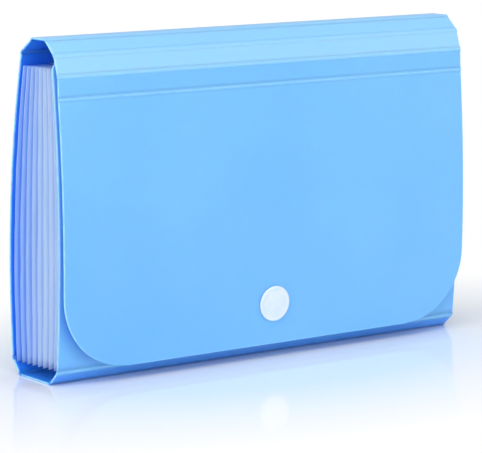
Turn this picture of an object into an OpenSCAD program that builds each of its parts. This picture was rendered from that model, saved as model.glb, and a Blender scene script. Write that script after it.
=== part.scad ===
// Expanding coupon wallet: one scored cover sheet round a pleated insert of pockets, shut by a plastic snap.
// X runs along the width, Y from the front to the back and Z up, in millimetres.
// The origin lies on the ground under the middle of the closed wallet.

/* [Pockets] */
// Number of pockets between the front and the back panel
pockets = 9; // [5:1:12]
// Inside width of a pocket
pocket_w = 151; // [120:1:200]
// Height of a divider sheet above the pocket floors
pocket_h = 99.3; // [80:0.1:150]
// Height of the pocket floors above the ground
floor_h = 5.9; // [5.8:0.1:8]
// Spacing of the divider sheets at the pocket floors
pitch_bottom = 2.95; // [2.2:0.05:4.5]
// Spacing of the divider sheets at the pocket mouths, closed
pitch_top = 1.95; // [1.6:0.05:3.2]
// Thickness of the divider film
film_t = 0.3; // [0.2:0.05:0.5]
// Corner radius of the divider sheets
film_corner_r = 2; // [0.5:0.1:4]
// Gap of the glue film that bonds an end sheet to its cover panel
bond_gap = 0.05; // [0.02:0.01:0.1]

/* [Index tabs] */
// Width of an index tab
tab_w = 16; // [8:0.5:22]
// Height of an index tab above its divider
tab_h = 3.5; // [2:0.1:4]
// Corner radius of an index tab
tab_corner_r = 1.5; // [0.4:0.1:1.9]
// Distance of the outer tabs from the pocket's sides
tab_margin = 6.25; // [4:0.25:12]

/* [Side pleats] */
// Depth of the front pleat from its valley to its ridge
pleat_depth = 8; // [5:0.1:14]
// How much deeper the rear pleat is than the front one
pleat_growth = 1.8; // [0:0.1:3]
// Thickness of the pleat film
pleat_t = 0.2; // [0.15:0.01:0.3]
// How far a pleat's ridge stops below the dividers' tops
pleat_top_drop = 0.2; // [0:0.1:6]
// How far a pleat's ridge reaches below the pocket floors
pleat_foot_drop = 1.5; // [0:0.1:2.5]
// Gap between a pleat's film and the edge of its divider
pleat_gap = 0.1; // [0.05:0.01:0.2]

/* [Cover sheet] */
// Thickness of the cover sheet
sheet_t = 0.7; // [0.5:0.05:0.9]
// How far the cover stands out past the rear pleat at each end
end_margin = 0.6; // [0.4:0.1:4]
// Distance forward from the front edge of the bottom to the front lower crease
front_step_run = 4.7; // [3:0.1:6]
// Height of the front lower crease above the bottom
front_step_rise = 4.4; // [3:0.1:4.7]
// Distance back from the rear edge of the bottom to the rear lower crease
rear_step_run = 4.25; // [3:0.05:6]
// Height of the rear lower crease above the bottom
rear_step_rise = 5.1; // [3:0.1:5.2]
// How far the front panel's top stands above the dividers
front_over = 2.4; // [1.8:0.1:2.7]
// How far the front panel's top lies behind its lower crease
front_lean = 1.05; // [0:0.05:3]
// How far the front panel bows out
front_bow = 2.7; // [0:0.1:4]
// How far the back panel bows out
back_bow = 4.1; // [0:0.1:6]
// Corner radius at the front panel's top
front_corner_r = 3; // [1:0.1:8]
// How far the rear shoulder crease stands above the dividers
shoulder_over = 4.55; // [3.8:0.05:7.3]
// Distance forward from the rear shoulder crease to the top
shoulder_run = 6.7; // [5:0.1:9]
// Rise from the rear shoulder crease to the top
shoulder_rise = 4.75; // [4.5:0.05:7]
// Distance forward from the top's front edge to the brow crease
brow_run = 5.4; // [4:0.1:7]
// Distance of the brow crease in front of the front panel's top
brow_clear = 1.3; // [1.1:0.1:3]
// Drop from the top to the brow crease
brow_drop = 4.85; // [4:0.05:5.5]
// Distance forward across the upper front strip
upper_run = 2.2; // [1.5:0.1:3.5]
// Drop across the upper front strip
upper_drop = 6.8; // [5:0.1:9]
// Distance forward across the lower front strip
lower_run = 0.3; // [0:0.1:1]
// Drop across the lower front strip
lower_drop = 7.25; // [5:0.05:10]

/* [Flap] */
// Height of the flap's lower edge above the ground
flap_hem = 5.3; // [3:0.1:10]
// Radius of the flap's lower corners
flap_corner_r = 25; // [8:0.5:34]
// How far the flap bows out
flap_bow = 1.8; // [0:0.1:3]

/* [Snap] */
// Height of the snap above the ground
snap_h = 19.6; // [14:0.1:30]
// Radius of the visible caps
cap_r = 6.22; // [5:0.01:7.5]
// Height of a cap's rim
cap_rim = 0.5; // [0.3:0.05:0.9]
// Height of a cap's dome above its rim
cap_dome = 0.9; // [0.3:0.05:1.5]
// Height of the inner cap's dome above its rim
inner_dome = 0.4; // [0.2:0.05:0.6]
// Radius of the stud's disc and of the socket
disc_r = 5.75; // [4.5:0.05:6.2]
// Thickness of the stud's disc
disc_t = 0.7; // [0.5:0.05:1]
// Radius of the stud
stud_r = 2; // [1.8:0.05:2.2]
// Height of the stud above its disc
stud_h = 1.1; // [0.9:0.05:1.6]
// Running clearance round the stud in its socket
stud_clear = 0.45; // [0.4:0.01:0.5]
// Thickness of the socket's web behind the stud
web_t = 0.5; // [0.4:0.05:0.8]
// Radius of the shanks that join the snap's halves through the sheet
shank_r = 1.25; // [0.8:0.05:1.4]
// Clearance round a shank in its hole
shank_clear = 0.05; // [0.03:0.01:0.1]
// Gap between a snap piece and the sheet that it seats on
seat_gap = 0.1; // [0.08:0.01:0.2]

/* [Creases] */
// Gap between the round edge of a hinged strip and the strip that carries it
hinge_gap = 0.1; // [0.06:0.01:0.15]
// Gap at the rear bottom crease, where the loop of cover and insert is left open
open_crease_gap = 0.15; // [0.1:0.01:0.3]
// Straight runs that make up a bowed sheet
bow_steps = 10; // [6:1:20]

/* [Hidden] */
$fn = 64;
cover_color = [0.47, 0.75, 0.98];
film_color = [0.72, 0.83, 0.96];
snap_color = [0.93, 0.95, 0.98];

// Widths
valley_x = pocket_w / 2 + pleat_gap;
rear_ridge_x = valley_x + pleat_depth + pleat_growth;
cover_w = 2 * (rear_ridge_x + end_margin);
tab_step = (pocket_w - 2 * tab_margin - tab_w) / (pockets - 2);

// Crease points of the cover as [y, z], on the middle of the sheet, measured from the bottom's front edge
half_t = sheet_t / 2;
lining = half_t + bond_gap + film_t / 2;
insert_top = floor_h + pocket_h;
front_lower = [-front_step_run, half_t + front_step_rise];
rear_lower = [front_lower[0] + pockets * pitch_bottom + 2 * lining, half_t + rear_step_rise];
bottom_front = [0, half_t];
bottom_rear = [rear_lower[0] - rear_step_run, half_t];
front_top = [front_lower[0] + front_lean, insert_top + front_over];
shoulder = [front_top[0] + pockets * pitch_top + 2 * lining, insert_top + shoulder_over];
top_rear = shoulder + [-shoulder_run, shoulder_rise];
top_front = [front_top[0] - brow_clear + brow_run, top_rear[1]];
brow = top_front - [brow_run, brow_drop];
upper_low = brow - [upper_run, upper_drop];
flap_root = upper_low - [lower_run, lower_drop];

// Points of a bowed line from a to b, between the shares s0 and s1 of its length
function left_of(d) = [-d[1], d[0]] / norm(d);
function bow_point(a, b, bow, s) = a + (b - a) * s + left_of(b - a) * 4 * bow * s * (1 - s);
function bow_line(a, b, bow, s0, s1) =
    [for (i = [0:bow_steps]) bow_point(a, b, bow, s0 + (s1 - s0) * i / bow_steps)];
function run_at(line, i) = line[min(i + 1, len(line) - 1)] - line[max(i - 1, 0)];
function beside(line, d) = [for (i = [0:len(line) - 1]) line[i] + left_of(run_at(line, i)) * d];
function backwards(line) = [for (i = [len(line) - 1:-1:0]) line[i]];
function mix(a, b, s) = a * (1 - s) + b * s;
function height_share(a, b, z) = (z - a[1]) / (b[1] - a[1]);

// Middle lines of the bowed panels, and of the end sheets bonded to them
trim = half_t + hinge_gap;
back_trim_s = trim / norm(shoulder - rear_lower);
front_line = bow_line(front_lower, front_top, front_bow, 0, 1);
back_line = bow_line(rear_lower, shoulder, -back_bow, back_trim_s, 1 - back_trim_s);
front_s0 = height_share(front_lower, front_top, floor_h);
front_s1 = height_share(front_lower, front_top, insert_top);
front_tab_s = height_share(front_lower, front_top, insert_top + tab_h);
rear_s0 = height_share(rear_lower, shoulder, floor_h);
rear_s1 = height_share(rear_lower, shoulder, insert_top);
rear_tab_s = height_share(rear_lower, shoulder, insert_top + tab_h);
function front_end_line(s1) = beside(bow_line(front_lower, front_top, front_bow, front_s0, s1), -lining);
function rear_end_line(s1) = beside(bow_line(rear_lower, shoulder, -back_bow, rear_s0, s1), lining);
front_film = front_end_line(front_s1);
rear_film = rear_end_line(rear_s1);
front_film_tab = front_end_line(front_tab_s);
rear_film_tab = rear_end_line(rear_tab_s);

// Middle line of sheet k of the insert: 0 is the front end sheet, the last is the back end sheet
function film_line(k) = [for (i = [0:bow_steps]) mix(front_film[i], rear_film[i], k / pockets)];
function tab_line(k) = [for (i = [0:bow_steps]) mix(front_film_tab[i], rear_film_tab[i], k / pockets)];
function film_foot(k) = film_line(k)[0];

// The snap's axis, square to the mean slope of the front panel and the flap at the snap's height
snap_s = height_share(front_lower, front_top, snap_h);
snap_depth = seat_gap + disc_t + seat_gap + stud_h + hinge_gap + web_t + seat_gap;
snap_front = bow_point(front_lower, front_top, front_bow, snap_s);
flap_s = (flap_root[1] - snap_h) / (flap_root[1] - flap_hem);
flap_at_snap = snap_front[0] - sheet_t - snap_depth;
flap_hem_y = flap_root[0] + (flap_at_snap - flap_root[0] + 4 * flap_bow * flap_s * (1 - flap_s)) / flap_s;
flap_low = [flap_hem_y, flap_hem];
flap_line = bow_line(flap_root, flap_low, -flap_bow, 0, 1);
function slope_at(a, b, bow, s) =
    let (d = bow_point(a, b, bow, s + 0.01) - bow_point(a, b, bow, s - 0.01)) -d[0] / d[1];
front_slope = slope_at(front_lower, front_top, front_bow, snap_s);
flap_slope = slope_at(flap_root, flap_low, -flap_bow, flap_s);
snap_tilt = atan((front_slope + flap_slope) / 2);
snap_base = snap_front - [half_t, 0];
inner_seat = sheet_t + bond_gap + film_t + seat_gap;

// Depth of the closed wallet, which sets the origin
cap_face = snap_depth + sheet_t + seat_gap + cap_rim + cap_dome;
front_most = snap_base[0] - cap_face * cos(snap_tilt);
back_most = max([for (p = beside(back_line, -half_t)) p[0]]);
mid_y = (front_most + back_most) / 2;

// Extrudes a [y, z] outline along the width, in the model's frame
module along_x(w) {
    translate([0, -mid_y, 0])
        rotate([90, 0, 90])
            linear_extrude(height = w, center = true)
                children();
}

// Extrudes an [x, z] outline right through the wallet's depth
module along_y() {
    depth = 4 * (back_most - front_most);
    translate([0, depth / 2, 0])
        rotate([90, 0, 0])
            linear_extrude(height = depth)
                children();
}

// A sheet of thickness t on both sides of a line
module sheet(line, t, w) {
    along_x(w)
        polygon(concat(beside(line, t / 2), backwards(beside(line, -t / 2))));
}

// Round edge of a hinged sheet, on its crease
module round_edge(p, t, w) {
    translate([0, p[0] - mid_y, p[1]])
        rotate([0, 90, 0])
            cylinder(d = t, h = w, center = true);
}

// A flat strip of the cover, hinged at a, that stops at a gap from the next strip's round edge at b
module hinged_strip(a, b, gap = hinge_gap) {
    reach = b - (b - a) / norm(b - a) * (half_t + gap);
    union() {
        sheet([a, reach], sheet_t, cover_w);
        round_edge(a, sheet_t, cover_w);
    }
}

// Upright outline with round corners: at its foot if low is true, else at its top
module round_outline(w, z0, z1, r, low) {
    square_z0 = low ? z0 + r : z0;
    corner_z = low ? z0 + r : z1 - r;
    union() {
        translate([-w / 2, square_z0])
            square([w, z1 - z0 - r]);
        translate([-w / 2 + r, z0])
            square([w - 2 * r, z1 - z0]);
        for (side = [-1, 1])
            translate([side * (w / 2 - r), corner_z])
                circle(r = r);
    }
}

module bottom_strip() {
    color(cover_color)
        hinged_strip(bottom_rear, bottom_front);
}

module front_lower_strip() {
    color(cover_color)
        hinged_strip(bottom_front, front_lower);
}

module rear_lower_strip() {
    color(cover_color)
        hinged_strip(rear_lower, bottom_rear, open_crease_gap);
}

module front_panel() {
    color(cover_color)
        difference() {
            intersection() {
                union() {
                    sheet(front_line, sheet_t, cover_w);
                    round_edge(front_lower, sheet_t, cover_w);
                }
                along_y()
                    round_outline(cover_w, 0, front_top[1], front_corner_r, false);
            }
            shank_hole();
        }
}

module back_panel() {
    color(cover_color)
        sheet(back_line, sheet_t, cover_w);
}

module rear_shoulder_strip() {
    color(cover_color)
        hinged_strip(shoulder, top_rear);
}

module top_strip() {
    color(cover_color)
        hinged_strip(top_rear, top_front);
}

module brow_strip() {
    color(cover_color)
        hinged_strip(top_front, brow);
}

module upper_front_strip() {
    color(cover_color)
        hinged_strip(brow, upper_low);
}

module lower_front_strip() {
    color(cover_color)
        hinged_strip(upper_low, flap_root);
}

module flap_panel() {
    color(cover_color)
        difference() {
            intersection() {
                union() {
                    sheet(flap_line, sheet_t, cover_w);
                    round_edge(flap_root, sheet_t, cover_w);
                }
                along_y()
                    round_outline(cover_w, flap_hem, flap_root[1] + sheet_t, flap_corner_r, true);
            }
            shank_hole();
        }
}

// Places children on the snap's axis: z = 0 on the front panel's outer face, +z out of the front
module on_snap_axis() {
    translate([0, snap_base[0] - mid_y, snap_base[1]])
        rotate([90 + snap_tilt, 0, 0])
            children();
}

// Clearance hole for a shank through every sheet at the snap
module shank_hole() {
    on_snap_axis()
        cylinder(r = shank_r + shank_clear, h = 6 * snap_depth, center = true);
}

// Rim with a shallow spherical dome on top, standing on z = 0
module domed_disc(r, rim, dome) {
    ball_r = (r * r + dome * dome) / (2 * dome);
    intersection() {
        cylinder(r = r, h = rim + dome);
        translate([0, 0, rim + dome - ball_r])
            sphere(r = ball_r, $fn = 180);
    }
}

module snap_cap() {
    seat = snap_depth + sheet_t + seat_gap;
    shank_l = seat_gap + sheet_t + seat_gap + web_t;
    color(snap_color)
        on_snap_axis()
            union() {
                translate([0, 0, seat])
                    domed_disc(cap_r, cap_rim, cap_dome);
                translate([0, 0, seat - shank_l])
                    cylinder(r = shank_r, h = shank_l + cap_rim / 2);
            }
}

module snap_socket() {
    base = seat_gap + disc_t + seat_gap;
    body_h = snap_depth - seat_gap - base;
    color(snap_color)
        on_snap_axis()
            translate([0, 0, base])
                difference() {
                    cylinder(r = disc_r, h = body_h);
                    translate([0, 0, -1])
                        cylinder(r = stud_r + stud_clear, h = body_h - web_t + 1);
                    cylinder(r = shank_r + shank_clear, h = 2 * body_h);
                }
}

// The stud's shank reaches through the front panel and the end sheet into the inner cap
module snap_stud() {
    color(snap_color)
        on_snap_axis()
            union() {
                translate([0, 0, seat_gap]) {
                    cylinder(r = disc_r, h = disc_t);
                    domed_disc(stud_r, disc_t + stud_h / 3, stud_h * 2 / 3);
                }
                translate([0, 0, -inner_seat - cap_rim + seat_gap])
                    cylinder(r = shank_r, h = inner_seat + cap_rim + disc_t / 2);
            }
}

module snap_back_cap() {
    color(snap_color)
        on_snap_axis()
            translate([0, 0, -inner_seat])
                mirror([0, 0, 1])
                    difference() {
                        domed_disc(cap_r, cap_rim, inner_dome);
                        translate([0, 0, -1])
                            cylinder(r = shank_r + shank_clear, h = cap_rim + 1);
                    }
}

// Fold that closes the bottom of the pocket behind sheet k
module pocket_floor(k) {
    a = film_foot(k);
    b = film_foot(k + 1);
    reach = b - (b - a) / norm(b - a) * (film_t / 2 + hinge_gap);
    sheet([a, reach], film_t, pocket_w);
}

// Sheet k of the insert, hinged at its foot and carrying the floor of the pocket behind it
module film_sheet(k, line) {
    union() {
        sheet(line, film_t, pocket_w);
        round_edge(film_foot(k), film_t, pocket_w);
        if (k < pockets)
            pocket_floor(k);
    }
}

module front_end_sheet() {
    color(film_color)
        difference() {
            intersection() {
                film_sheet(0, film_line(0));
                along_y()
                    round_outline(pocket_w, 0, insert_top, film_corner_r, false);
            }
            shank_hole();
        }
}

module back_end_sheet() {
    color(film_color)
        intersection() {
            film_sheet(pockets, film_line(pockets));
            along_y()
                round_outline(pocket_w, 0, insert_top, film_corner_r, false);
        }
}

module divider(k) {
    tab_x = (k - pockets / 2) * tab_step;
    color(film_color)
        intersection() {
            film_sheet(k, tab_line(k));
            along_y()
                union() {
                    round_outline(pocket_w, 0, insert_top, film_corner_r, false);
                    translate([tab_x, 0])
                        round_outline(tab_w, 0, insert_top + tab_h, tab_corner_r, false);
                }
        }
}

// One folded side pleat between sheets k - 1 and k, lofted through the bowed lines of both
module pleat(k) {
    depth = pleat_depth + pleat_growth * (k - 1) / (pockets - 1);
    ridge_x = valley_x + depth;
    front = beside(film_line(k - 1), -pleat_gap / 2);
    rear = beside(film_line(k), pleat_gap / 2);
    ridge_z0 = floor_h - pleat_foot_drop;
    ridge_z1 = insert_top - pleat_top_drop;
    tip = pleat_t * depth / pitch_bottom;
    rings = [for (i = [0:bow_steps])
        let (
            f = front[i],
            r = rear[i],
            mid_line_y = (f[0] + r[0]) / 2,
            z = mix(ridge_z0, ridge_z1, i / bow_steps)
        )
        [
            [valley_x, f[0], f[1]],
            [ridge_x, mid_line_y, z],
            [valley_x, r[0], r[1]],
            [valley_x, r[0] - pleat_t, r[1]],
            [ridge_x - tip, mid_line_y, z],
            [valley_x, f[0] + pleat_t, f[1]]
        ]];
    points = [for (ring = rings) each ring];
    sides = [for (i = [0:bow_steps - 1], j = [0:5])
        let (
            a = 6 * i + j,
            b = 6 * i + (j + 1) % 6
        )
        each [[a, b, b + 6], [a, b + 6, a + 6]]];
    top = 6 * bow_steps;
    foot_cap = [[0, 5, 1], [1, 5, 4], [1, 4, 2], [2, 4, 3]];
    top_cap = [for (f = foot_cap) [top + f[2], top + f[1], top + f[0]]];
    color(film_color)
        translate([0, -mid_y, 0])
            polyhedron(points = points, faces = concat(foot_cap, sides, top_cap));
}

module left_pleat(k) {
    mirror([1, 0, 0])
        pleat(k);
}

bottom_strip();
front_lower_strip();
rear_lower_strip();
front_panel();
back_panel();
rear_shoulder_strip();
top_strip();
brow_strip();
upper_front_strip();
lower_front_strip();
flap_panel();
snap_cap();
snap_socket();
snap_stud();
snap_back_cap();
front_end_sheet();
back_end_sheet();
for (k = [1:pockets - 1])
    divider(k);
for (k = [1:pockets])
    left_pleat(k);
for (k = [1:pockets])
    pleat(k);
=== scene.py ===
# %% [markdown]
# An expanding coupon wallet of blue plastic sheet stands shut on a pale table. The measured solids come
# in as a fixed frame, and this lesson dresses them: one scored cover sheet, a frosted pleated insert and
# a white snap. Everything is in metres, in the frame's own place, so no piece has to be fitted by eye.

# %% Load the frame
import bpy
import bmesh
import math
from mathutils import Matrix, Vector


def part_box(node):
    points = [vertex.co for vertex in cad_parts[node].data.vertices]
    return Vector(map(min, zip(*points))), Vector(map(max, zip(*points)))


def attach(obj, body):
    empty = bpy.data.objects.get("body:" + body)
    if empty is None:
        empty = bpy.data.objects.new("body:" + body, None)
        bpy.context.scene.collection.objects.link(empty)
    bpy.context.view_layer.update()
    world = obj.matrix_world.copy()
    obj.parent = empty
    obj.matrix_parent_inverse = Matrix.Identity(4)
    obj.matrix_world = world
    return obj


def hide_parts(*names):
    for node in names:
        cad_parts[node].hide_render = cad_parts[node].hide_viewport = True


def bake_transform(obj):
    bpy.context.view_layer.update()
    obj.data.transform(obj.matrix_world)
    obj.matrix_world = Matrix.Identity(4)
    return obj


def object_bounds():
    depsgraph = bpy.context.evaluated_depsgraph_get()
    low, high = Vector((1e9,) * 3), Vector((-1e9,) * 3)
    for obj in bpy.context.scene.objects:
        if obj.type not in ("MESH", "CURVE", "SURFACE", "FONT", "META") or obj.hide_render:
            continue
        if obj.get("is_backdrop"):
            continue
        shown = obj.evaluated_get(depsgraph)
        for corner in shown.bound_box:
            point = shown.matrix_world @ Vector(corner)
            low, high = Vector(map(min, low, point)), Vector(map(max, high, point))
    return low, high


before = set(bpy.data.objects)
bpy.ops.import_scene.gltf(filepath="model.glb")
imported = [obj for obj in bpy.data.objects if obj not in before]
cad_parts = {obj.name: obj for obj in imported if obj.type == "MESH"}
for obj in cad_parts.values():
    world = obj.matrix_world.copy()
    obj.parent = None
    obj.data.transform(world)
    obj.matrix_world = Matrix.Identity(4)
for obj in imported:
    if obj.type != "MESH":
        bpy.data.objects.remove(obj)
box_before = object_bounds()
mm = 0.001

# %% [markdown]
# The camera stands in front of the wallet's left end and a little above it, a long way back, so the lines
# of the cover hardly converge. A long lens gives that. Its place and turn were worked out from the
# cover's corners in the photograph. Trying places by eye would also work, but takes longer and stays less
# sure.

# %% Camera
camera_data = bpy.data.cameras.new("camera")
camera_data.sensor_width = 36.0
camera_data.lens = 193.19
camera_data.clip_start = 0.05
camera_data.clip_end = 50.0
camera = bpy.data.objects.new("camera", camera_data)
bpy.context.scene.collection.objects.link(camera)
eye = (-0.53135, -0.71864, 0.18826)
look = Vector((0.5853574, 0.7950123, -0.1590979)).normalized()
side = look.cross(Vector((0, 0, 1))).normalized()
above = side.cross(look)
camera.matrix_world = Matrix((
    (side.x, above.x, -look.x, eye[0]),
    (side.y, above.y, -look.y, eye[1]),
    (side.z, above.z, -look.z, eye[2]),
    (0, 0, 0, 1),
))
bpy.context.scene.camera = camera
bpy.context.scene.view_settings.view_transform = "Standard"
print("lens", camera_data.lens, "mm")

# %% [markdown]
# The table is a pale floor that mirrors the wallet a little and turns white a hand's width away. Three
# wide lamps and a pale sky light it: one high at the left, one low at the front right and one low at the
# left end. They could be an image of a studio, but plain lamps keep every colour about as it is written.
# The camera and mirror images see plain white far off through Light Path, and it lights nothing else.

# %% Helpers for materials
def new_material(name):
    made = bpy.data.materials.new(name)
    made.use_nodes = True
    made.node_tree.nodes.clear()
    return made


def add_node(tree, kind, **values):
    node = tree.nodes.new(kind)
    for key, value in values.items():
        setattr(node, key, value)
    return node


def join(tree, start, end):
    tree.links.new(start, end)


def feed(tree, value, socket):
    if isinstance(value, bpy.types.NodeSocket):
        join(tree, value, socket)
    else:
        socket.default_value = value


def math_of(tree, operation, first, second):
    node = add_node(tree, "ShaderNodeMath", operation=operation)
    feed(tree, first, node.inputs[0])
    feed(tree, second, node.inputs[1])
    return node.outputs[0]


def noise_of(tree, place, scale, detail):
    node = add_node(tree, "ShaderNodeTexNoise")
    node.inputs["Scale"].default_value = scale
    node.inputs["Detail"].default_value = detail
    join(tree, place, node.inputs["Vector"])
    return node.outputs["Fac"]


def spread(tree, value, low, high, to_low=0.0, to_high=1.0):
    node = add_node(tree, "ShaderNodeMapRange")
    node.inputs["From Min"].default_value = low
    node.inputs["From Max"].default_value = high
    node.inputs["To Min"].default_value = to_low
    node.inputs["To Max"].default_value = to_high
    join(tree, value, node.inputs["Value"])
    return node.outputs["Result"]


def mix_colours(tree, share, first, second):
    node = add_node(tree, "ShaderNodeMix", data_type="RGBA")
    join(tree, share, node.inputs["Factor"])
    for socket, colour in ((node.inputs[6], first), (node.inputs[7], second)):
        feed(tree, (*colour, 1.0) if isinstance(colour, tuple) else colour, socket)
    return node.outputs[2]


def mix_shaders(tree, share, first, second):
    node = add_node(tree, "ShaderNodeMixShader")
    join(tree, share, node.inputs["Fac"])
    join(tree, first, node.inputs[1])
    join(tree, second, node.inputs[2])
    return node.outputs["Shader"]


def seen_by(tree, first_ray, second_ray):
    path = add_node(tree, "ShaderNodeLightPath")
    return math_of(tree, "MAXIMUM", path.outputs[first_ray], path.outputs[second_ray])


def link_object(name, data):
    made = bpy.data.objects.new(name, data)
    bpy.context.scene.collection.objects.link(made)
    return made


# %% Floor and backdrop
floor_half = 6.0
white_start = 0.09
white_full = 0.2
forward_stretch = 1.6
floor_mesh = bpy.data.meshes.new("floor")
floor_mesh.from_pydata(
    [(-floor_half, -floor_half, 0), (floor_half, -floor_half, 0), (floor_half, floor_half, 0),
     (-floor_half, floor_half, 0)],
    [],
    [(0, 1, 2, 3)],
)
floor = link_object("floor", floor_mesh)
table = new_material("pale_table")
table_tree = table.node_tree
table_place = add_node(table_tree, "ShaderNodeTexCoord").outputs["Object"]
table_surface = add_node(table_tree, "ShaderNodeBsdfPrincipled")
table_grain = noise_of(table_tree, table_place, scale=9.0, detail=3.0)
table_tone = mix_colours(table_tree, table_grain, (0.93, 0.945, 0.965), (0.945, 0.96, 0.98))
join(table_tree, table_tone, table_surface.inputs["Base Color"])
table_surface.inputs["Roughness"].default_value = 0.08
table_surface.inputs["Specular IOR Level"].default_value = 0.44
table_white = add_node(table_tree, "ShaderNodeEmission")
table_white.inputs["Color"].default_value = (1, 1, 1, 1)
table_white.inputs["Strength"].default_value = 1.0
stretched = add_node(table_tree, "ShaderNodeVectorMath", operation="MULTIPLY")
join(table_tree, table_place, stretched.inputs[0])
stretched.inputs[1].default_value = (1.0, forward_stretch, 1.0)
distance = add_node(table_tree, "ShaderNodeVectorMath", operation="LENGTH")
join(table_tree, stretched.outputs["Vector"], distance.inputs[0])
far = spread(table_tree, distance.outputs["Value"], white_start, white_full)
seen_far = math_of(table_tree, "MULTIPLY", seen_by(table_tree, "Is Camera Ray", "Is Glossy Ray"), far)
table_mix = mix_shaders(table_tree, seen_far, table_surface.outputs["BSDF"],
                        table_white.outputs["Emission"])
table_output = add_node(table_tree, "ShaderNodeOutputMaterial")
join(table_tree, table_mix, table_output.inputs["Surface"])
floor_mesh.materials.append(table)
floor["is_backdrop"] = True
print("floor made, white from", white_start, "to", white_full, "m")

# %% Sky and lamps
sky = bpy.data.worlds.new("sky")
bpy.context.scene.world = sky
sky.use_nodes = True
sky_tree = sky.node_tree
sky_tree.nodes.clear()


def sky_shade(colour, strength):
    shade = add_node(sky_tree, "ShaderNodeBackground")
    shade.inputs["Color"].default_value = colour
    shade.inputs["Strength"].default_value = strength
    return shade.outputs["Background"]


sky_seen = seen_by(sky_tree, "Is Camera Ray", "Is Transmission Ray")
sky_pale = sky_shade((0.87, 0.93, 1.0, 1), 0.7)
sky_white = sky_shade((1, 1, 1, 1), 1.0)
sky_mix = mix_shaders(sky_tree, sky_seen, sky_pale, sky_white)
sky_output = add_node(sky_tree, "ShaderNodeOutputWorld")
join(sky_tree, sky_mix, sky_output.inputs["Surface"])


def soft_lamp(name, position, aim, size, power, mirrored):
    lamp_data = bpy.data.lights.new(name, "AREA")
    lamp_data.shape = "SQUARE"
    lamp_data.size = size
    lamp_data.energy = power
    lamp = link_object(name, lamp_data)
    lamp.location = position
    lamp.rotation_euler = (Vector(aim) - Vector(position)).to_track_quat("-Z", "Y").to_euler()
    lamp.visible_glossy = mirrored


soft_lamp("high_lamp", (-0.35, -0.45, 1.15), (0, 0, 0.05), size=0.9, power=5.0, mirrored=True)
soft_lamp("front_lamp", (0.95, -1.05, 0.3), (0, 0, 0.06), size=0.6, power=4.3, mirrored=False)
soft_lamp("side_lamp", (-1.2, -0.3, 0.3), (0, 0, 0.06), size=0.9, power=8.6, mirrored=False)
print("three soft lamps and a pale sky")

# %% [markdown]
# The cover is one sheet of polypropylene. It is cut flat, and hot rules press its creases, so each crease
# is a living hinge. The plastic is satin and a little translucent. It could be one plain blue, but three
# marks on the mesh steer its tone: one for the pale cut edges and creases, partly whitened plastic and
# partly a painted highlight; one for a painted shade, a deep blue on the inside faces and the bottom
# strips, where light bounces from wall to wall; and one for a painted sheen on the lid, which the sky
# brightens.

# %% Cover plastic
outer_blue = (0.175, 0.500, 0.975)
outer_blue_light = (0.205, 0.540, 0.985)
# painted shade: a deeper, more saturated blue for the inside faces and the down-facing bottom strips
inner_blue = (0.04, 0.28, 1.0)
# painted sheen: a paler blue on the lid strips, where the sky brightens them
lid_painted_sheen_blue = (0.42, 0.72, 1.0)
# pale tone for cut edges and creases: partly whitening and wear, partly painted highlight
edge_whitening_and_glint_blue = (0.46, 0.80, 1.0)


def plastic_surface(material, base, roughness_low, roughness_high, grain_scale, grain_depth, wave_depth):
    tree = material.node_tree
    place = add_node(tree, "ShaderNodeTexCoord").outputs["Object"]
    surface = add_node(tree, "ShaderNodeBsdfPrincipled")
    join(tree, base(tree, place), surface.inputs["Base Color"])
    streaks = noise_of(tree, place, scale=60.0, detail=4.0)
    join(tree, spread(tree, streaks, 0.3, 0.7, roughness_low, roughness_high), surface.inputs["Roughness"])
    grain_bump = add_node(tree, "ShaderNodeBump")
    grain_bump.inputs["Strength"].default_value = 0.35
    grain_bump.inputs["Distance"].default_value = grain_depth
    join(tree, noise_of(tree, place, grain_scale, detail=2.0), grain_bump.inputs["Height"])
    wave_bump = add_node(tree, "ShaderNodeBump")
    wave_bump.inputs["Strength"].default_value = 0.6
    wave_bump.inputs["Distance"].default_value = wave_depth
    join(tree, noise_of(tree, place, scale=14.0, detail=1.0), wave_bump.inputs["Height"])
    join(tree, grain_bump.outputs["Normal"], wave_bump.inputs["Normal"])
    join(tree, wave_bump.outputs["Normal"], surface.inputs["Normal"])
    output = add_node(tree, "ShaderNodeOutputMaterial")
    join(tree, surface.outputs["BSDF"], output.inputs["Surface"])
    return surface


def let_light_through(material, surface, weight, radius, scale):
    feed(material.node_tree, weight, surface.inputs["Subsurface Weight"])
    surface.inputs["Subsurface Radius"].default_value = radius
    surface.inputs["Subsurface Scale"].default_value = scale


def mark_of(tree, name):
    return add_node(tree, "ShaderNodeAttribute", attribute_name=name).outputs["Fac"]


def cloudy(tree, place, scale, detail, first, second):
    clouds = noise_of(tree, place, scale, detail)
    return mix_colours(tree, spread(tree, clouds, 0.35, 0.65), first, second)


def cover_colour(tree, place):
    blue = cloudy(tree, place, 11.0, 2.0, outer_blue, outer_blue_light)
    # deeper blue where the shade mark is set: painted shade
    blue = mix_colours(tree, mark_of(tree, "inner"), blue, inner_blue)
    # paler blue on the lid: painted sheen
    blue = mix_colours(tree, mark_of(tree, "painted_sheen"), blue, lid_painted_sheen_blue)
    # pale cut edges and creases, broken up by noise: partly wear and whitening, partly painted highlight
    edge_wear_and_glint_noise = noise_of(tree, place, scale=320.0, detail=3.0)
    whitening_and_glint = math_of(tree, "MULTIPLY", mark_of(tree, "rim"), spread(tree, edge_wear_and_glint_noise, 0.25, 0.6, 0.25, 0.6))
    return mix_colours(tree, whitening_and_glint, blue, edge_whitening_and_glint_blue)


cover_plastic = new_material("cover_plastic")
cover_surface = plastic_surface(cover_plastic, cover_colour, roughness_low=0.30, roughness_high=0.40,
                                grain_scale=2600.0, grain_depth=0.00002, wave_depth=0.0012)
cover_surface.inputs["IOR"].default_value = 1.49
cover_tree = cover_plastic.node_tree
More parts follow.
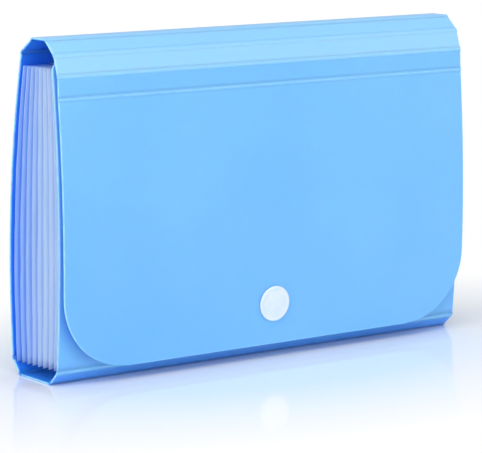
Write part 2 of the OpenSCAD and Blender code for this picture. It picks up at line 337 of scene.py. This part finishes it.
# the painted shade mark also raises the subsurface weight
cover_weight = spread(cover_tree, mark_of(cover_tree, "inner"), 0.0, 1.0, 0.4, 0.8)
let_light_through(cover_plastic, cover_surface, cover_weight, radius=(0.15, 0.5, 1.0), scale=0.0012)
print("cover plastic made")

# %% [markdown]
# The cover's creases are points in the wallet's end view, as [depth, height] in millimetres. Between two
# creases the sheet is flat or bowed a little. They could be read back from the solids, but written down
# once they are easy to follow. The same points shaped the solids, so each stretch lands on its solid.

# %% Crease points of the cover
sheet_t = 0.7
cover_half_w = 86.0
half_t = sheet_t / 2
bottom_front = Vector((0.0, 0.35))
bottom_rear = Vector((18.7, 0.35))
front_lower = Vector((-4.7, 4.75))
rear_lower = Vector((22.95, 5.45))
front_top = Vector((-3.65, 107.6))
shoulder = Vector((15.0, 109.75))
top_rear = Vector((8.3, 114.5))
top_front = Vector((0.45, 114.5))
brow = Vector((-4.95, 109.65))
upper_low = Vector((-7.15, 102.85))
flap_root = Vector((-7.45, 95.6))
flap_low = Vector((-8.48714, 5.3))
wallet_middle = Vector((7.0, 55.0))
middle_y = bottom_rear.x + half_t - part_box("bottom_strip")[1].y / mm
print("the wallet's middle is", round(middle_y, 4), "mm behind the bottom's front crease")


def left_of(run):
    return Vector((-run.y, run.x)).normalized()


def run_of(start, end):
    return (end - start).normalized()


def bowed(start, end, bow, share):
    return start + (end - start) * share + left_of(end - start) * (4 * bow * share * (1 - share))


def in_frame(x, point):
    return Vector((x * mm, (point.x - middle_y) * mm, point.y * mm))


def inner_side(point, normal):
    return 1 if normal.dot(wallet_middle - point) > 0 else -1


# %% [markdown]
# Each stretch of the cover could be a box with a bevel. Instead it is lofted: rings of points go round
# the sheet and follow its bow, so the long edges and the free ends are round like a die-cut edge, and the
# large flap corners are true arcs. Rings stop short of each crease, where a separate hinge strip takes
# over. Every point also gets its three marks: how near it is to a cut edge, how much painted shade it
# takes (the inner face, and the outer face where a strip asks for it), and how much painted sheen.

# %% Lofting a stretch of sheet
crease_reach = 0.7
rim_reach = 0.55
across_steps = 22
near_edge = (0.1, 0.3, 0.7, 1.4)
edge_turns = (1.05, 0.52, 0.0, -0.52, -1.05)
end_turns = (0.6, 1.1, 1.45)
cover_marks = ("rim", "inner", "painted_sheen")


def piece_from(name, made, material):
    bmesh.ops.recalc_face_normals(made, faces=made.faces)
    mesh = bpy.data.meshes.new(name)
    made.to_mesh(mesh)
    made.free()
    mesh.materials.append(material)
    return link_object(name, mesh)


def closed_skin(name, rings):
    made = bmesh.new()
    layers = [made.verts.layers.float.new(label) for label in cover_marks]
    loops = []
    for ring in rings:
        loop = []
        for place, *marks in ring:
            vertex = made.verts.new(place)
            for layer, mark in zip(layers, marks):
                vertex[layer] = mark
            loop.append(vertex)
        loops.append(loop)
    for first, second in zip(loops, loops[1:]):
        for index in range(len(first)):
            after = (index + 1) % len(first)
            made.faces.new((first[index], first[after], second[after], second[index]))
    made.faces.new(loops[0])
    made.faces.new(loops[-1])
    return piece_from(name, made, cover_plastic)


def across_shares():
    even = [step / across_steps for step in range(1 - across_steps, across_steps)]
    near = [1 - gap / cover_half_w for gap in near_edge]
    return sorted(set(even + near + [-share for share in near]))


def section_of(half_w, thin):
    flat = half_w - half_t
    shares = across_shares()
    section = [(share * flat, thin * half_t, half_w - abs(share * flat)) for share in shares]
    for turn in edge_turns:
        section.append((flat + half_t * math.cos(turn), thin * half_t * math.sin(turn), 0.0))
    for share in reversed(shares):
        section.append((share * flat, -thin * half_t, half_w - abs(share * flat)))
    for turn in reversed(edge_turns):
        section.append((-flat - half_t * math.cos(turn), thin * half_t * math.sin(turn), 0.0))
    return section


def sheet_rows(line, widths, free_end):
    last = len(line) - 1
    rows = []
    for index, (point, half_w) in enumerate(zip(line, widths)):
        run = line[min(index + 1, last)] - line[max(index - 1, 0)]
        rows.append((point, run.normalized(), half_w, 1.0))
    if free_end:
        point, run, half_w = rows[-1][:3]
        for turn in end_turns:
            rows.append((point + run * half_t * math.sin(turn), run, half_w - half_t * (1 - math.cos(turn)),
                         math.cos(turn)))
    return rows


def sheet_piece(name, line, widths, free_end, outer_painted_shade=0.0, outer_painted_sheen=0.0):
    rows = sheet_rows(line, widths, free_end)
    travelled = [0.0]
    for before, row in zip(rows, rows[1:]):
        travelled.append(travelled[-1] + (row[0] - before[0]).length)
    rings = []
    for (point, run, half_w, thin), way in zip(rows, travelled):
        normal = left_of(run)
        inside = inner_side(point, normal)
        end_gap = travelled[-1] - way if free_end else math.inf
        ring = []
        for x, out, edge_gap in section_of(half_w, thin):
            rim = max(0.0, 1.0 - min(edge_gap, end_gap) / rim_reach)
            inward = 0.5 + 0.5 * inside * out / half_t
            place = in_frame(x, point + normal * out)
            # marks: edge tone, painted shade on the inner face (and on the outer face where given), painted
            # sheen on the outer face
            ring.append((place, rim, max(outer_painted_shade, inward), outer_painted_sheen * (1.0 - inward)))
        rings.append(ring)
    piece = closed_skin(name, rings)
    for polygon in piece.data.polygons:
        polygon.use_smooth = len(polygon.vertices) == 4
    return piece


def keep(piece, body, node):
    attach(piece, body)
    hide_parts(node)


# %% [markdown]
# The narrow stretches round the bottom and the top are flat strips between two pressed lines. Each could
# be a mesh of its own, but they differ only in their two crease points and their tone, so one table and
# one helper make them all. The strips at the bottom face down and take the painted deep-blue shade also
# on their outer face; the strips of the lid take a painted sheen.

# %% Narrow strips
strip_steps = 6
# columns: name, body, solid, start, end, painted shade and painted sheen on the outer face
strips = (
    ("cover_bottom", "base", "bottom_strip", bottom_rear, bottom_front, 0.6, 0.0),
    ("cover_front_lower", "front_lower", "front_lower_strip", bottom_front, front_lower, 0.6, 0.0),
    ("cover_rear_lower", "rear_lower", "rear_lower_strip", rear_lower, bottom_rear, 0.6, 0.0),
    ("cover_rear_shoulder", "top", "rear_shoulder_strip", shoulder, top_rear, 0.0, 0.3),
    ("cover_top", "top", "top_strip", top_rear, top_front, 0.0, 0.3),
    ("cover_brow", "brow", "brow_strip", top_front, brow, 0.0, 0.35),
    ("cover_upper_front", "brow", "upper_front_strip", brow, upper_low, 0.0, 0.55),
    ("cover_lower_front", "lower_front", "lower_front_strip", upper_low, flap_root, 0.0, 0.0),
)


def straight_line(start, end):
    run = run_of(start, end)
    first = start + run * crease_reach
    last = end - run * crease_reach
    return [first + (last - first) * (step / strip_steps) for step in range(strip_steps + 1)]


for name, body, node, start, end, outer_painted_shade, outer_painted_sheen in strips:
    line = straight_line(start, end)
    strip = sheet_piece(name, line, [cover_half_w] * len(line), False, outer_painted_shade, outer_painted_sheen)
    keep(strip, body, node)
print(len(strips), "strips")

# %% [markdown]
# The front wall, the back wall and the flap are bowed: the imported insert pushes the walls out, and the
# snap pulls the flap in. They could be flat boards that are bent later, but a bowed line to loft along
# gives the bow at once. The free ends have round corners, so the half width shrinks along a quarter
# circle there.

# %% Walls and flap
front_bow = 2.7
back_bow = 4.1
flap_bow = 1.8
wall_corner = 3.0
flap_corner = 25.0
plain_steps = 40
corner_steps = 18
back_steps = 44


def width_at(gap_to_end, corner):
    if gap_to_end >= corner:
        return cover_half_w
    return cover_half_w - corner + math.sqrt(max(0.0, corner ** 2 - (corner - gap_to_end) ** 2))


def wall_piece(name, start, end, bow, corner):
    span = (end - start).length
    first = crease_reach / span
    share_corner = corner / span
    shares = [first + (1.0 - share_corner - first) * step / plain_steps for step in range(plain_steps + 1)]
    for step in range(1, corner_steps + 1):
        turn = step * math.pi / (2 * corner_steps)
        shares.append(1.0 - share_corner * (1 - math.sin(turn)))
    line = [bowed(start, end, bow, share) for share in shares]
    widths = [width_at((1.0 - share) * span, corner) for share in shares]
    return sheet_piece(name, line, widths, True)


def bowed_line(start, end, bow, steps):
    first = crease_reach / (end - start).length
    last = 1 - first
    return [bowed(start, end, bow, first + (last - first) * step / steps) for step in range(steps + 1)]


keep(wall_piece("cover_front_wall", front_lower, front_top, front_bow, wall_corner), "front", "front_panel")
back_line = bowed_line(rear_lower, shoulder, -back_bow, back_steps)
back_widths = [cover_half_w] * len(back_line)
keep(sheet_piece("cover_back_wall", back_line, back_widths, False), "back", "back_panel")
keep(wall_piece("cover_flap", flap_root, flap_low, -flap_bow, flap_corner), "flap", "flap_panel")
print("front wall, back wall and flap")

# %% [markdown]
# A pressed crease is thinner than the sheet and rounded, and it shows as a pale line: partly the
# whitening of pressed plastic, partly a painted highlight where it catches the light. It could be a bump
# in the material, but then the cover would tear when it opens. Each crease is its own narrow strip, curved
# between its two neighbours. The strip follows a small curve whose handles lie on the two stretches, with
# a shallow groove pressed into both faces.

# %% Living hinges
groove_depth = 0.05
groove_half = 0.26
crease_columns = 24
crease_shares = (0.0, 0.16, 0.3, 0.42, 0.5, 0.58, 0.7, 0.84, 1.0)


def crease_piece(name, corner, run_in, run_out, line_whitening_and_glint, outer_painted_shade, painted_sheen_in, painted_sheen_out):
    start = corner - run_in * crease_reach
    end = corner + run_out * crease_reach
    outline = []
    for face in (1, -1):
        for share in crease_shares[::face]:
            point = start.lerp(corner, share).lerp(corner.lerp(end, share), share)
            run = (corner - start).lerp(end - corner, share).normalized()
            press = max(0.0, 1 - abs(share - 0.5) / groove_half)
            out = half_t * (1 - groove_depth * press * press * (3 - 2 * press))
            inward = 0.5 + 0.5 * face * inner_side(point, left_of(run))
            painted_sheen = (painted_sheen_in + (painted_sheen_out - painted_sheen_in) * share) * (1.0 - inward)
            # marks: pale crease line (pressed whitening and painted highlight), painted shade, painted
            # sheen
            marks = (line_whitening_and_glint * press, max(outer_painted_shade, inward), painted_sheen)
            outline.append((point + left_of(run) * out * face, marks))
    rings = []
    for column in range(crease_columns + 1):
        x = -cover_half_w + 2 * cover_half_w * column / crease_columns
        rings.append([(in_frame(x, point), *marks) for point, marks in outline])
    return closed_skin(name, rings), start, end


front_start = run_of(front_lower, bowed(front_lower, front_top, front_bow, 0.01))
back_start = run_of(bowed(rear_lower, shoulder, -back_bow, 0.01), rear_lower)
back_end = run_of(bowed(rear_lower, shoulder, -back_bow, 0.99), shoulder)
flap_start = run_of(flap_root, bowed(flap_root, flap_low, -flap_bow, 0.01))
# tones: pale crease line, painted shade on the outer face, painted sheen at the start and at the end
creases = (
    ("crease_bottom_front", bottom_front, run_of(bottom_rear, bottom_front),
     run_of(bottom_front, front_lower), "base", "front_lower", 0.5, 0.6, 0.0, 0.0),
    ("crease_front_lower", front_lower, run_of(bottom_front, front_lower),
     front_start, "front_lower", "front", 0.9, 0.0, 0.0, 0.0),
    ("crease_rear_lower", rear_lower, back_start,
     run_of(rear_lower, bottom_rear), "back", "rear_lower", 0.4, 0.3, 0.0, 0.0),
    ("crease_shoulder", shoulder, back_end,
     run_of(shoulder, top_rear), "back", "top", 0.6, 0.0, 0.0, 0.3),
    ("crease_top_rear", top_rear, run_of(shoulder, top_rear),
     run_of(top_rear, top_front), "top", "top", 0.4, 0.0, 0.3, 0.3),
    ("crease_top_front", top_front, run_of(top_rear, top_front),
     run_of(top_front, brow), "top", "brow", 0.15, 0.0, 0.3, 0.35),
    ("crease_brow", brow, run_of(top_front, brow),
     run_of(brow, upper_low), "brow", "brow", 0.2, 0.0, 0.35, 0.55),
    ("crease_upper_low", upper_low, run_of(brow, upper_low),
     run_of(upper_low, flap_root), "brow", "lower_front", 0.8, 0.0, 0.55, 0.0),
    ("crease_flap_root", flap_root, run_of(upper_low, flap_root),
     flap_start, "lower_front", "flap", 0.9, 0.0, 0.0, 0.0),
    ("crease_bottom_rear", bottom_rear, run_of(rear_lower, bottom_rear),
     run_of(bottom_rear, bottom_front), "base", "base", 0.0, 0.6, 0.0, 0.0),
)
for name, corner, run_in, run_out, before, after, *tones in creases:
    piece, start, end = crease_piece(name, corner, run_in, run_out, *tones)
    if before == after:
        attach(piece, before)
    else:
        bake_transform(piece)
print(len(creases), "creases")

# %% [markdown]
# The insert is thin frosted film. Light goes through it, so it looks pale between the blue walls. Towards
# the rear it is painted a deeper blue, a painted shade for where it stands in the cover's shade. Real clear
# plastic would show every layer behind it and make grain in the picture, so a pale satin surface with a
# little light inside stands in for it. Near each fold the film is painted whiter, partly for the whitening
# of bent film and partly as a painted highlight where the ridge catches the light: the mark "fold" says
# how near a point is to a fold, and "behind" how far to the rear.

# %% Frosted film
frost_blue = (0.40, 0.58, 0.93)
frost_blue_light = (0.47, 0.63, 0.95)
rear_painted_shade_blue = (0.07, 0.27, 0.98)
fold_whitening_and_glint_white = (0.72, 0.86, 1.0)


def film_colour(fold_strength):
    def colour(tree, place):
        frost = cloudy(tree, place, 24.0, 3.0, frost_blue, frost_blue_light)
        # bluer towards the rear: painted shade where the cover shades the film
        shade = spread(tree, mark_of(tree, "behind"), 0.4, 0.95)
        frost = mix_colours(tree, shade, frost, rear_painted_shade_blue)
        # whiter near each fold: partly whitening of bent film, partly painted highlight on the ridge
        whitening_and_glint = math_of(tree, "MULTIPLY", mark_of(tree, "fold"), fold_strength)
        return mix_colours(tree, whitening_and_glint, frost, fold_whitening_and_glint_white)
    return colour


pleat_film = new_material("pleat_film")
pleat_surface = plastic_surface(pleat_film, film_colour(0.35), roughness_low=0.34, roughness_high=0.50,
                                grain_scale=1800.0, grain_depth=0.00003, wave_depth=0.0008)
let_light_through(pleat_film, pleat_surface, weight=0.4, radius=(0.8, 0.9, 1.0), scale=0.001)
divider_film = new_material("divider_film")
divider_surface = plastic_surface(divider_film, film_colour(0.0), roughness_low=0.30, roughness_high=0.46,
                                  grain_scale=1500.0, grain_depth=0.00002, wave_depth=0.0006)
let_light_through(divider_film, divider_surface, weight=0.4, radius=(0.6, 0.8, 1.0), scale=0.001)
for node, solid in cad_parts.items():
    if node.startswith("divider_") or node.endswith("_end_sheet"):
        solid.data.materials.clear()
        solid.data.materials.append(divider_film)
print("films made")

# %% [markdown]
# Each pocket has a folded side pleat at both ends: two narrow walls that meet in an outer ridge. All 36
# walls follow one rule, so one Geometry Nodes tree makes them. A grid is bent so that its edge on the
# sheet follows the sheet's bow, and its other edge follows the ridge, which ends lower than the sheet:
# hardly at the top and more at the foot. The wall leaves its sheet steeply and turns round near the
# ridge, as folded film does.

# %% Tree for one wall of a pleat
pockets = 9
pocket_half_w = 75.5
front_reach = 8.1
rear_reach = 9.9
glue_gap = 0.05
film_half_t = 0.15
lining = half_t + glue_gap + film_half_t
floor_h = 5.9
insert_top = 105.2
ridge_foot_drop = 1.5
ridge_top_drop = 0.2
nose_power = 2.2
fold_power = 9.0
columns_out = 9
rows_up = 33


def film_ends(start, end, bow, side_sign):
    low = (floor_h - start.y) / (end.y - start.y)
    high = (insert_top - start.y) / (end.y - start.y)
    first, middle, last = (bowed(start, end, bow, share) for share in (low, (low + high) / 2, high))
    first = first + left_of(bowed(start, end, bow, low + 0.01) - first) * lining * side_sign
    middle = middle + left_of(end - start) * lining * side_sign
    last = last + left_of(last - bowed(start, end, bow, high - 0.01)) * lining * side_sign
    return first, last, middle - (first + last) / 2


front_foot, front_head, front_belly = film_ends(front_lower, front_top, front_bow, -1)
rear_foot, rear_head, rear_belly = film_ends(rear_lower, shoulder, -back_bow, 1)
wall_tree = bpy.data.node_groups.new("pleat_wall", "GeometryNodeTree")
wall_tree.interface.new_socket(name="Wall", in_out="OUTPUT", socket_type="NodeSocketGeometry")
tree_inputs = {}
for kind, labels in (
    ("NodeSocketFloat", ("Sheet share", "Ridge share", "Sheet edge", "Ridge reach")),
    ("NodeSocketFloat", ("Foot drop", "Top drop")),
    ("NodeSocketVector", ("Front foot", "Front head", "Front belly")),
    ("NodeSocketVector", ("Rear foot", "Rear head", "Rear belly")),
    ("NodeSocketFloat", ("Waviness", "Seed")),
    ("NodeSocketMaterial", ("Film",)),
):
    for label in labels:
        socket = wall_tree.interface.new_socket(name=label, in_out="INPUT", socket_type=kind)
        tree_inputs[label] = socket.identifier


def tree_node(kind, **values):
    return add_node(wall_tree, kind, **values)


def tree_join(start, end):
    join(wall_tree, start, end)


def tree_math(operation, first, second):
    return math_of(wall_tree, operation, first, second)


def tree_mix(share, first, second):
    node = tree_node("ShaderNodeMix", data_type="VECTOR")
    tree_join(share, node.inputs["Factor"])
    tree_join(first, node.inputs[4])
    tree_join(second, node.inputs[5])
    return node.outputs[1]


def tree_mark(geometry, name, value):
    node = tree_node("GeometryNodeStoreNamedAttribute", data_type="FLOAT", domain="POINT")
    node.inputs["Name"].default_value = name
    tree_join(geometry, node.inputs["Geometry"])
    tree_join(value, node.inputs["Value"])
    return node.outputs["Geometry"]


given = tree_node("NodeGroupInput").outputs
grid = tree_node("GeometryNodeMeshGrid")
grid.inputs["Size X"].default_value = 1.0
grid.inputs["Size Y"].default_value = 1.0
grid.inputs["Vertices X"].default_value = columns_out
grid.inputs["Vertices Y"].default_value = rows_up
where = tree_node("ShaderNodeSeparateXYZ")
tree_join(tree_node("GeometryNodeInputPosition").outputs["Position"], where.inputs[0])
out_share = tree_math("ADD", where.outputs["X"], 0.5)
up_share = tree_math("ADD", where.outputs["Y"], 0.5)
share_gap = tree_math("SUBTRACT", given["Ridge share"], given["Sheet share"])
bulged = tree_math("POWER", out_share, nose_power)
sheet_share = tree_math("ADD", given["Sheet share"], tree_math("MULTIPLY", share_gap, bulged))
foot_point = tree_mix(sheet_share, given["Front foot"], given["Rear foot"])
head_point = tree_mix(sheet_share, given["Front head"], given["Rear head"])
belly = tree_mix(sheet_share, given["Front belly"], given["Rear belly"])
chord_point = tree_mix(up_share, foot_point, head_point)
down_share = tree_math("SUBTRACT", 1.0, up_share)
belly_share = tree_math("MULTIPLY", tree_math("MULTIPLY", up_share, down_share), 4.0)
belly_scaled = tree_node("ShaderNodeVectorMath", operation="SCALE")
tree_join(belly, belly_scaled.inputs[0])
tree_join(belly_share, belly_scaled.inputs["Scale"])
bent = tree_node("ShaderNodeVectorMath", operation="ADD")
tree_join(chord_point, bent.inputs[0])
tree_join(belly_scaled.outputs[0], bent.inputs[1])
bent_parts = tree_node("ShaderNodeSeparateXYZ")
tree_join(bent.outputs[0], bent_parts.inputs[0])
drop_gap = tree_math("SUBTRACT", given["Top drop"], given["Foot drop"])
drop = tree_math("ADD", given["Foot drop"], tree_math("MULTIPLY", drop_gap, up_share))
height = tree_math("SUBTRACT", bent_parts.outputs["Z"], tree_math("MULTIPLY", drop, out_share))
wobble = tree_node("ShaderNodeTexNoise", noise_dimensions="2D")
wobble.inputs["Scale"].default_value = 5.0
wobble_place = tree_node("ShaderNodeCombineXYZ")
tree_join(up_share, wobble_place.inputs[0])
tree_join(given["Seed"], wobble_place.inputs[1])
tree_join(wobble_place.outputs[0], wobble.inputs["Vector"])
sway = tree_math("MULTIPLY", tree_math("SUBTRACT", wobble.outputs[0], 0.5), given["Waviness"])
side_of_wallet = tree_math("SIGN", given["Ridge reach"], 0.0)
reach = tree_math("ADD", given["Ridge reach"], tree_math("MULTIPLY", sway, side_of_wallet))
outward = tree_math("ADD", given["Sheet edge"], tree_math("MULTIPLY", reach, out_share))
new_place = tree_node("ShaderNodeCombineXYZ")
tree_join(outward, new_place.inputs[0])
tree_join(bent_parts.outputs["Y"], new_place.inputs[1])
tree_join(height, new_place.inputs[2])
marked = tree_mark(grid.outputs["Mesh"], "behind", sheet_share)
marked = tree_mark(marked, "fold", tree_math("POWER", out_share, fold_power))
set_place = tree_node("GeometryNodeSetPosition")
tree_join(marked, set_place.inputs["Geometry"])
tree_join(new_place.outputs[0], set_place.inputs["Position"])
smooth = tree_node("GeometryNodeSetShadeSmooth")
tree_join(set_place.outputs["Geometry"], smooth.inputs["Geometry"])
real = tree_node("GeometryNodeRealizeInstances")
tree_join(smooth.outputs["Geometry"], real.inputs["Geometry"])
film_set = tree_node("GeometryNodeSetMaterial")
tree_join(real.outputs["Geometry"], film_set.inputs["Geometry"])
tree_join(given["Film"], film_set.inputs["Material"])
group_out = tree_node("NodeGroupOutput")
tree_join(film_set.outputs["Geometry"], group_out.inputs["Wall"])
print("pleat tree has", len(wall_tree.nodes), "nodes")

# %% [markdown]
# Each wall is made from the tree with its own shares: the sheet that it is glued to and the ridge half
# way to the next sheet. Solidify gives the film its thickness towards the inside of the fold. A wall
# could ride on its sheet alone, but on the real wallet the ridge follows both sheets, so here a wall is
# shaped between the two at rest, and at the ridge it is exactly half way.

# %% Side pleats
pleat_t = 0.0002
ridge_waviness = 0.0007
seed_step = 3.7
left_seed = 41.3


def frame_vector(point):
    return (0.0, (point.x - middle_y) * mm, point.y * mm)


def belly_vector(point):
    return (0.0, point.x * mm, point.y * mm)


pleat_values = {
    "Front foot": frame_vector(front_foot), "Front head": frame_vector(front_head),
    "Front belly": belly_vector(front_belly), "Rear foot": frame_vector(rear_foot),
    "Rear head": frame_vector(rear_head), "Rear belly": belly_vector(rear_belly),
    "Foot drop": ridge_foot_drop * mm, "Top drop": ridge_top_drop * mm, "Waviness": ridge_waviness,
    "Film": pleat_film,
}


def pleat_wall(side_name, side_sign, pocket, wall):
    glued = pocket - 1 if wall == "front" else pocket
    name = "%s_pleat_%d_%s" % (side_name, pocket, wall)
    source = link_object("rule_of_" + name, bpy.data.meshes.new("rule_of_" + name))
    rule = source.modifiers.new("wall", "NODES")
    rule.node_group = wall_tree
    values = dict(pleat_values)
    values["Sheet share"] = glued / pockets
    values["Ridge share"] = (pocket - 0.5) / pockets
    values["Sheet edge"] = side_sign * pocket_half_w * mm
    reach = front_reach + (rear_reach - front_reach) * (pocket - 1) / (pockets - 1)
    values["Ridge reach"] = side_sign * reach * mm
    values["Seed"] = pocket * seed_step + (0.0 if side_sign > 0 else left_seed)
    for label, value in values.items():
        rule[tree_inputs[label]] = value
    film = source.modifiers.new("film", "SOLIDIFY")
    film.thickness = pleat_t
    film.offset = -1.0 if (wall == "front") == (side_sign > 0) else 1.0
    evaluated = source.evaluated_get(bpy.context.evaluated_depsgraph_get())
    mesh = bpy.data.meshes.new_from_object(evaluated)
    mesh.name = name
    bpy.data.objects.remove(source)
    piece = link_object(name, mesh)
    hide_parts("%s_pleat_%d" % (side_name, pocket))
    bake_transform(piece)
    return len(mesh.polygons)


faces = 0
for side_name, side_sign in (("left", -1), ("right", 1)):
    for pocket in range(1, pockets + 1):
        for wall in ("front", "rear"):
            faces += pleat_wall(side_name, side_sign, pocket, wall)
print("36 pleat walls with", faces, "faces")

# %% [markdown]
# The snap is moulded plastic: four round parts on one axis, square to the front. They could be joined
# cylinders, but a profile of radius and height that is swept round the axis gives every lip and dish at
# once. The cap has a raised rim round a shallow dish, as moulded snap caps have.

# %% Snap plastic
def snap_colour(tree, place):
    return cloudy(tree, place, 260.0, 3.0, (0.74, 0.82, 0.93), (0.80, 0.87, 0.96))


snap_plastic = new_material("snap_plastic")
snap_surface = plastic_surface(snap_plastic, snap_colour, roughness_low=0.24, roughness_high=0.36,
                               grain_scale=3000.0, grain_depth=0.00001, wave_depth=0.0002)
let_light_through(snap_plastic, snap_surface, weight=0.25, radius=(0.8, 0.9, 1.0), scale=0.001)
print("snap plastic made")

# %% Turned pieces of the snap
snap_base = in_frame(0, Vector((-6.23254, 19.6136)))
snap_tilt = math.radians(3.07)
snap_out = Vector((0, -math.cos(snap_tilt), -math.sin(snap_tilt)))
snap_up = Vector((0, -math.sin(snap_tilt), math.cos(snap_tilt)))
snap_across = Vector((1, 0, 0))
snap_depth = 2.7
seat_gap = 0.1
cap_seat = snap_depth + sheet_t + seat_gap
turns = 72
sharp_angle = math.radians(40)


def round_of(made, middle, radius):
    ring = []
    for turn in range(turns):
        angle = 2 * math.pi * turn / turns
        spoke = snap_across * math.cos(angle) + snap_up * math.sin(angle)
        ring.append(made.verts.new(middle + spoke * (radius * mm)))
    return ring


def turned_piece(name, profile, node, body):
    made = bmesh.new()
    rings = []
    for radius, height in profile:
        middle = snap_base + snap_out * (height * mm)
        if rings and (radius, height) == profile[0]:
            rings.append(rings[0])
        elif radius == 0:
            rings.append([made.verts.new(middle)])
        else:
            rings.append(round_of(made, middle, radius))
    for first, second in zip(rings, rings[1:]):
        for turn in range(turns):
            after = (turn + 1) % turns
            corners = [first[turn % len(first)], first[after % len(first)], second[after % len(second)],
                       second[turn % len(second)]]
            made.faces.new(list(dict.fromkeys(corners)))
    piece = piece_from(name, made, snap_plastic)
    for polygon in piece.data.polygons:
        polygon.use_smooth = True
    piece.data.set_sharp_from_angle(angle=sharp_angle)
    keep(piece, body, node)


turned_piece("snap_cap_face", (
    (0, cap_seat - 1.4), (1.15, cap_seat - 1.4), (1.25, cap_seat - 1.3), (1.25, cap_seat), (5.95, cap_seat),
    (6.16, cap_seat + 0.08), (6.22, cap_seat + 0.3), (6.2, cap_seat + 0.52), (6.08, cap_seat + 0.72),
    (5.85, cap_seat + 0.84), (5.55, cap_seat + 0.88), (5.3, cap_seat + 0.84), (5.1, cap_seat + 0.76),
    (4.9, cap_seat + 0.74), (4.2, cap_seat + 0.86), (3.2, cap_seat + 1.0), (2.0, cap_seat + 1.1),
    (0.9, cap_seat + 1.14), (0, cap_seat + 1.15),
), "snap_cap", "flap")
turned_piece("snap_socket_ring", (
    (1.3, 2.6), (1.3, 2.1), (2.45, 2.1), (2.5, 2.0), (2.4, 1.5), (2.45, 0.95), (2.6, 0.9), (5.4, 0.9),
    (5.65, 0.98), (5.75, 1.2), (5.75, 2.3), (5.65, 2.52), (5.4, 2.6), (1.3, 2.6),
), "snap_socket", "flap")
turned_piece("snap_stud_post", (
    (0, -1.45), (1.25, -1.45), (1.25, 0.1), (5.5, 0.1), (5.7, 0.2), (5.75, 0.4), (5.7, 0.66), (5.5, 0.8),
    (4.6, 0.8), (4.3, 0.7), (2.9, 0.7), (2.6, 0.8), (2.0, 0.82), (1.92, 1.1), (2.08, 1.45), (2.0, 1.68),
    (1.6, 1.82), (0.8, 1.89), (0, 1.9),
), "snap_stud", "front")
turned_piece("snap_back_cap_face", (
    (0, -1.65), (1.3, -1.65), (1.3, -1.15), (5.95, -1.15), (6.16, -1.23), (6.22, -1.4), (6.16, -1.6),
    (5.9, -1.72), (4.8, -1.8), (3.2, -1.95), (1.4, -2.03), (0, -2.05),
), "snap_back_cap", "front")
print("snap turned in four pieces")

# %% [markdown]
# The dressed wallet has to keep the solids' size. The two boxes could be compared by eye, but written
# down they can be checked to the tenth of a millimetre.

# %% Sizes and finish
box_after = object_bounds()
spans = zip(box_after[1] - box_after[0], box_before[1] - box_before[0])
print("box grows by", [round((after - before) / mm, 3) for after, before in spans])
